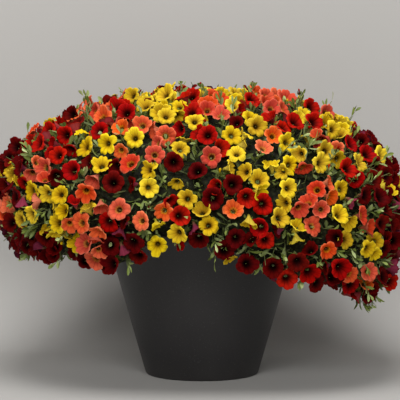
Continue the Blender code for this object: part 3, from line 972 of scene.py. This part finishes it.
def dress_soil(materials, random):
    """Soil with a crumbly top, and bark crumbs that lie in it."""
    level = soil_level()
    edge = wall_r(level) - POT_WALL - SEAT_GAP
    floor = POT_FLOOR + SEAT_GAP
    shares = np.linspace(0, 1, 30)
    profile = [(max(edge * s, AXIS_R), level + SOIL_CROWN * (1 - s * s)) for s in shares]
    profile += [(wall_r(floor) - POT_WALL - SEAT_GAP, floor), (AXIS_R, floor)]
    piece = turned_piece("soil_bed", profile[::-1], 90, "soil")
    points = piece.points[0]
    top = points[:, 2] > level - 0.0001
    rough = top & (np.hypot(points[:, 0], points[:, 1]) < edge * SOIL_ROUGH_SHARE)
    for scale, height in SOIL_ROUGHNESS:
        swell = sum(
            np.sin(scale * (points[:, 0] * math.cos(a) + points[:, 1] * math.sin(a)) + p)
            for a, p in random.uniform(0, 2 * math.pi, (5, 2))
        )
        points[rough, 2] += height * SOIL_SWELL * swell[rough]
    add_crumbs(piece, edge, level, random)
    bed = piece.build(materials)
    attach(bed, "root")
    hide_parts("soil")


def add_crumbs(piece, edge, level, random):
    """Slim crumbs of bark, lying about evenly over the soil."""
    for _ in range(CRUMBS):
        turn = random.uniform(0, 2 * math.pi)
        share = math.sqrt(random.uniform())
        reach = (edge - 0.004) * share
        height = level + SOIL_CROWN * (1 - share * share) + random.uniform(-0.0005, 0.001)
        middle = np.array((reach * math.cos(turn), reach * math.sin(turn), height))
        way = unit(random.normal(0, 1, 3) * (1, 1, 0.3))
        length = random.uniform(*CRUMB_LENGTHS)
        path = stations(middle, way * length, CRUMB_HEIGHTS)
        thick = length * random.uniform(*CRUMB_THICKNESS)
        radii = np.array(CRUMB_WIDTHS) * thick
        add_tube(piece, path, radii, 6, "soil", random.uniform(0, 1))


# Materials


def new_material(name):
    """A material with only a shader, its node tree, and the shader."""
    made = bpy.data.materials.new(name)
    made.use_nodes = True
    made.node_tree.nodes.clear()
    shader = made.node_tree.nodes.new("ShaderNodeBsdfPrincipled")
    output = made.node_tree.nodes.new("ShaderNodeOutputMaterial")
    made.node_tree.links.new(shader.outputs[0], output.inputs[0])
    return made, made.node_tree, shader


def add_node(tree, kind, inputs=None, **settings):
    """A node with its settings, and with sockets that are linked or given a value."""
    made = tree.nodes.new(kind)
    for name, value in settings.items():
        setattr(made, name, value)
    for name, value in (inputs or {}).items():
        if isinstance(value, bpy.types.NodeSocket):
            tree.links.new(value, made.inputs[name])
        else:
            made.inputs[name].default_value = value
    return made


def math_node(tree, operation, first, second=0.0, third=0.0):
    made = add_node(tree, "ShaderNodeMath", {0: first, 1: second, 2: third}, operation=operation)
    return made.outputs[0]


def scaled(tree, value, by, plus):
    return math_node(tree, "MULTIPLY_ADD", value, by, plus)


def product(tree, first, second):
    return math_node(tree, "MULTIPLY", first, second)


def object_place(tree):
    return add_node(tree, "ShaderNodeTexCoord").outputs["Object"]


def noise(tree, place, scale, detail):
    inputs = {"Vector": place, "Scale": scale, "Detail": detail}
    return add_node(tree, "ShaderNodeTexNoise", inputs).outputs[0]


def cells(tree, place, scale):
    return add_node(tree, "ShaderNodeTexVoronoi", {"Vector": place, "Scale": scale}).outputs[0]


def from_behind(tree):
    return add_node(tree, "ShaderNodeNewGeometry").outputs["Backfacing"]


def brightened(tree, colour, value, **more):
    """The colour at a brightness, and with its hue and saturation changed if asked."""
    inputs = {**more, "Value": value, "Color": colour}
    return add_node(tree, "ShaderNodeHueSaturation", inputs).outputs[0]


def finish_shader(tree, shader, colour, rough, height, strength, distance):
    """Joins the colour and roughness, and the height as a bump of a strength and distance."""
    bump = add_node(
        tree, "ShaderNodeBump", {"Height": height, "Strength": strength, "Distance": distance}
    )
    tree.links.new(colour, shader.inputs["Base Color"])
    tree.links.new(rough, shader.inputs["Roughness"])
    tree.links.new(bump.outputs[0], shader.inputs["Normal"])


def ramp(tree, value, stops):
    """A colour ramp. Each stop is a position and a colour."""
    made = add_node(tree, "ShaderNodeValToRGB", {0: value})
    band = made.color_ramp
    while len(band.elements) < len(stops):
        band.elements.new(0.5)
    for element, (position, colour) in zip(band.elements, stops):
        element.position = position
        element.color = (*colour, 1.0)
    return made.outputs[0]


def mix(tree, factor, first, second, blend="MIX"):
    made = add_node(tree, "ShaderNodeMix", data_type="RGBA", blend_type=blend)
    for socket, value in ((0, factor), (6, first), (7, second)):
        if isinstance(value, bpy.types.NodeSocket):
            tree.links.new(value, made.inputs[socket])
        elif socket == 0:
            made.inputs[0].default_value = value
        else:
            made.inputs[socket].default_value = (*value, 1.0)
    return made.outputs[2]


def group(name, inputs, outputs):
    """A shader node group with float inputs and outputs, and its two end nodes."""
    tree = bpy.data.node_groups.new(name, "ShaderNodeTree")
    for label in inputs:
        tree.interface.new_socket(label, in_out="INPUT", socket_type="NodeSocketFloat")
    for label in outputs:
        tree.interface.new_socket(label, in_out="OUTPUT", socket_type="NodeSocketFloat")
    return tree, tree.nodes.new("NodeGroupInput"), tree.nodes.new("NodeGroupOutput")


def vein_group():
    """Fine streaks that run out along a petal or leaf, the rib down its middle, and the creases at
    its edges, where petals get painted shade.
    """
    tree, start, end = group(
        "petal_and_leaf_veins",
        ("Along", "Across", "Tone", "Fineness"),
        ("Streaks", "Rib", "Crease", "Mottle"),
    )
    crosswise = product(tree, start.outputs["Across"], start.outputs["Fineness"])
    outward = product(tree, start.outputs["Along"], 1.6)
    seed = product(tree, start.outputs["Tone"], 61.0)
    place = add_node(tree, "ShaderNodeCombineXYZ", {0: crosswise, 1: outward, 2: seed}).outputs[0]
    off = math_node(tree, "ABSOLUTE", math_node(tree, "SUBTRACT", start.outputs["Across"], 0.5))
    rib = math_node(tree, "SUBTRACT", 1.0, product(tree, off, 9.0))
    results = {
        "Streaks": noise(tree, place, 1.0, 3.0),
        "Mottle": noise(tree, place, 0.22, 2.0),
        "Rib": math_node(tree, "MAXIMUM", rib, 0.0),
        "Crease": math_node(tree, "MAXIMUM", scaled(tree, off, 8.0, -3.0), 0.0),
    }
    for label, value in results.items():
        tree.links.new(value, end.inputs[label])
    return tree


def marks_of(tree):
    """The four marks of the mesh: along, across, tone, and shade or paleness."""
    read = add_node(tree, "ShaderNodeAttribute", attribute_name="marks")
    parts = add_node(tree, "ShaderNodeSeparateColor", {0: read.outputs["Color"]})
    return (*parts.outputs[:3], read.outputs["Alpha"])


def placed_veins(tree, veins, fineness):
    """The marks but for the place across, and the outputs of the vein group."""
    along, across, tone, last = marks_of(tree)
    node = add_node(tree, "ShaderNodeGroup", node_tree=veins)
    for label, value in (("Along", along), ("Across", across), ("Tone", tone)):
        tree.links.new(value, node.inputs[label])
    node.inputs["Fineness"].default_value = fineness
    return along, tone, last, node.outputs


def petal_material(name, veins):
    """A velvety petal: dark eye, throat ring, veins, painted shade in the creases and partly towards
    the throat, a rim lighter partly by painted highlight, and a paler back.
    """
    eye, throat, inner, middle, rim, back, dark = PETALS[name]
    made, tree, shader = new_material(name + "_petal")
    along, tone, paleness, vein = placed_veins(tree, veins, 13.0)
    # Veins down the middles of the lobes, and painted shade in the creases between them
    lines = scaled(tree, vein["Rib"], 0.5, vein["Crease"])
    lines = product(tree, lines, scaled(tree, along, -0.8, 1.25))
    lines = product(tree, lines, VEIN_AND_CREASE_SHADE_STRENGTHS[name])
    reach = math_node(tree, "ADD", along, scaled(tree, vein["Streaks"], 0.24, -0.12))
    reach = scaled(tree, lines, -0.08, reach)
    # Darker inwards partly by painted shade in the funnel, lighter at the rim partly by painted
    # highlight
    front = ramp(
        tree, reach,
        [(0.14, eye), (0.19, eye), (0.25, throat), (0.38, inner), (0.62, middle), (0.86, middle),
         (1.0, rim)],
    )
    streak = scaled(tree, vein["Streaks"], 2.0, -0.95)
    front = mix(tree, math_node(tree, "MAXIMUM", streak, 0.0), front, dark)
    front = mix(tree, lines, front, dark)
    behind = ramp(tree, along, [(0.0, PETAL_FOOT), (0.2, back), (0.9, back), (1.0, rim)])
    behind = mix(tree, product(tree, lines, 0.5), behind, dark)
    low, high = HUE_RANGES[name]
    colour = brightened(
        tree, mix(tree, from_behind(tree), front, behind), scaled(tree, tone, 0.34, 0.80),
        Hue=scaled(tree, tone, high - low, 0.5 + low),
        Saturation=scaled(tree, paleness, -PALENESS[name], 1.0),
    )
    rough = scaled(tree, vein["Streaks"], 0.25, 0.50)
    height = math_node(tree, "SUBTRACT", vein["Streaks"], vein["Crease"])
    shader.inputs["Specular IOR Level"].default_value = 0.03
    finish_shader(tree, shader, colour, rough, height, 0.5, 0.0006)
    return made


def leaf_material(veins):
    """A small sticky leaf: painted shade darkens it the further it lies into the plant, and it has a
    light rib.
    """
    made, tree, shader = new_material("leaf_green")
    _, tone, shade, vein = placed_veins(tree, veins, 9.0)
    unshaded_green = ramp(
        tree, tone,
        [(0.0, (0.110, 0.150, 0.020)), (0.5, (0.230, 0.310, 0.050)), (1.0, (0.480, 0.570, 0.240))],
    )
    # Painted shade: the dark green that leaves turn to as they lie further into the plant
    deep = ramp(tree, tone, [(0.0, (0.012, 0.018, 0.004)), (1.0, (0.045, 0.060, 0.014))])
    colour = mix(tree, shade, unshaded_green, deep)
    light = product(tree, vein["Rib"], 0.38)
    colour = mix(tree, light, colour, (0.34, 0.40, 0.14))
    pale = scaled(tree, from_behind(tree), 0.18, 1.0)
    value = product(tree, scaled(tree, vein["Mottle"], 0.5, 0.72), pale)
    rough = scaled(tree, vein["Streaks"], 0.3, 0.36)
    height = math_node(tree, "SUBTRACT", vein["Streaks"], vein["Rib"])
    shader.inputs["Specular IOR Level"].default_value = 0.45
    finish_shader(tree, shader, brightened(tree, colour, value), rough, height, 0.4, 0.0004)
    return made


def thicket_material():
    """Painted shade: near-black green for the shoots and old leaves within the plant, seen only as
    dark depth between the lighter leaves in front.
    """
    made, tree, shader = new_material("thicket_painted_shade")
    place = object_place(tree)
    blades = cells(tree, place, 190.0)
    patches = noise(tree, place, 90.0, 3.0)
    colour = ramp(
        tree, blades,
        [(0.1, (0.026, 0.034, 0.008)), (0.45, (0.012, 0.014, 0.004)), (0.8, (0.005, 0.005, 0.002))],
    )
    colour = brightened(tree, colour, scaled(tree, patches, 1.2, 0.4))
    shader.inputs["Specular IOR Level"].default_value = 0.2
    finish_shader(tree, shader, colour, scaled(tree, patches, 0.3, 0.6), blades, 0.8, 0.002)
    return made


def stem_material():
    """Green stems that turn brown and woody towards the soil."""
    made, tree, shader = new_material("stem_green")
    along, _, tone, _ = marks_of(tree)
    grain = noise(tree, object_place(tree), 700.0, 3.0)
    colour = ramp(
        tree, along,
        [(0.0, (0.090, 0.065, 0.030)), (0.4, (0.100, 0.110, 0.035)), (1.0, (0.150, 0.180, 0.055))],
    )
    value = scaled(tree, tone, 0.25, scaled(tree, grain, 0.6, 0.55))
    rough = scaled(tree, grain, 0.3, 0.4)
    finish_shader(tree, shader, brightened(tree, colour, value), rough, grain, 0.4, 0.0004)
    return made


def soil_material():
    """Dark peat with brown crumbs."""
    made, tree, shader = new_material("bark_and_peat")
    _, _, tone, _ = marks_of(tree)
    place = object_place(tree)
    grain = noise(tree, place, 420.0, 6.0)
    colour = ramp(
        tree, grain,
        [(0.30, (0.008, 0.005, 0.003)), (0.55, (0.035, 0.021, 0.012)), (0.75, (0.11, 0.07, 0.038))],
    )
    colour = brightened(tree, colour, scaled(tree, tone, 0.8, 0.6))
    height = math_node(tree, "ADD", grain, cells(tree, place, 260.0))
    finish_shader(tree, shader, colour, scaled(tree, grain, 0.3, 0.7), height, 0.8, 0.001)
    return made


def pot_material():
    """Matt charcoal composite: fine sandy grain, faint clouds, light flecks and a dusty foot."""
    made, tree, shader = new_material("charcoal_composite")
    place = object_place(tree)
    cloud = noise(tree, place, 14.0, 5.0)
    grain = noise(tree, place, 1500.0, 3.0)
    fleck = noise(tree, place, 520.0, 1.0)
    base = ramp(
        tree, cloud, [(0.30, (0.0130, 0.0122, 0.0130)), (0.70, (0.0195, 0.0183, 0.0190))]
    )
    specks = product(tree, math_node(tree, "GREATER_THAN", fleck, 0.69), 0.5)
    colour = mix(tree, specks, base, (0.06, 0.057, 0.056))
    level = add_node(tree, "ShaderNodeSeparateXYZ", {0: place}).outputs["Z"]
    fade = {0: level, 1: 0.0, 2: 0.03, 3: 0.45, 4: 0.0}
    low = add_node(tree, "ShaderNodeMapRange", fade).outputs[0]
    colour = mix(tree, product(tree, low, cloud), colour, (0.045, 0.041, 0.038))
    height = scaled(tree, cloud, 1.5, grain)
    finish_shader(tree, shader, colour, scaled(tree, cloud, 0.22, 0.42), height, 0.25, 0.0004)
    return made


# Stage, light and camera


def plain_material(name, colour, roughness):
    made, tree, shader = new_material(name)
    darker = tuple(channel * 0.94 for channel in colour)
    tone = mix(tree, noise(tree, object_place(tree), 3.0, 3.0), colour, darker)
    tree.links.new(tone, shader.inputs["Base Color"])
    shader.inputs["Roughness"].default_value = roughness
    return made


def add_stage():
    """A pale floor that sweeps up into a plain grey backdrop."""
    reach, near, far, bend, height = 3.0, -3.4, 0.345, 0.16, 3.0
    profile = [(near, 0.0), (far - bend, 0.0)]
    for k in range(1, 13):
        turn = math.pi / 2 * k / 12
        profile.append((far - bend + bend * math.sin(turn), bend - bend * math.cos(turn)))
    profile.append((far, height))
    points = [(x, y, z) for y, z in profile for x in (-reach, reach)]
    faces = [(2 * k, 2 * k + 1, 2 * k + 3, 2 * k + 2) for k in range(len(profile) - 1)]
    mesh = bpy.data.meshes.new("studio_sweep")
    mesh.from_pydata(points, [], faces)
    mesh.polygons.foreach_set("use_smooth", [True] * len(faces))
    mesh.materials.append(plain_material("studio_grey", (0.50, 0.494, 0.482), 0.9))
    sweep = bpy.data.objects.new("studio_sweep", mesh)
    bpy.context.scene.collection.objects.link(sweep)


def add_area(name, place, target, size, power, colour):
    light = bpy.data.lights.new(name, "AREA")
    light.shape = "RECTANGLE"
    light.size, light.size_y = size
    light.energy = power
    light.color = colour
    made = bpy.data.objects.new(name, light)
    made.location = place
    aim = Vector(target) - Vector(place)
    made.rotation_euler = aim.to_track_quat("-Z", "Y").to_euler()
    bpy.context.scene.collection.objects.link(made)


def add_light():
    warm = (1.0, 0.985, 0.96)
    add_area("top_softbox", (-0.05, -0.85, 2.45), (0, 0, 0.2), (1.2, 1.0), 41, warm)
    add_area("front_softbox", (-0.15, -2.45, 1.35), (0, 0, 0.25), (2.4, 0.9), 40, warm)
    world = bpy.data.worlds.new("studio")
    world.use_nodes = True
    shade = world.node_tree.nodes["Background"]
    shade.inputs["Color"].default_value = (1.0, 0.99, 0.97, 1.0)
    shade.inputs["Strength"].default_value = 0.13
    bpy.context.scene.world = world


def add_camera():
    camera = bpy.data.cameras.new("camera")
    camera.sensor_width = SENSOR
    camera.lens = SENSOR * FOCAL_PX / FRAME_PX
    made = bpy.data.objects.new("camera", camera)
    made.location = CAMERA_PLACE
    made.rotation_euler = (math.pi / 2 - CAMERA_PITCH, 0.0, 0.0)
    bpy.context.scene.collection.objects.link(made)
    bpy.context.scene.camera = made


def main():
    bpy.context.scene.view_settings.view_transform = "Standard"
    veins = vein_group()
    materials = {name: petal_material(name, veins) for name in PETALS}
    materials["leaf"] = leaf_material(veins)
    materials["stem"] = stem_material()
    materials["thicket"] = thicket_material()
    materials["soil"] = soil_material()
    materials["pot"] = pot_material()
    random = np.random.RandomState(DRESS_SEED)
    sprays = grow()
    plant_feet(sprays)
    add_hidden_blooms(sprays, random)
    choose_colours(sprays, random)
    discs = bloom_discs(sprays)
    for spray in sprays:
        dress_spray(spray, discs, materials, random)
    dress_pot(materials)
    dress_soil(materials, random)
    add_stage()
    add_light()
    add_camera()


main()
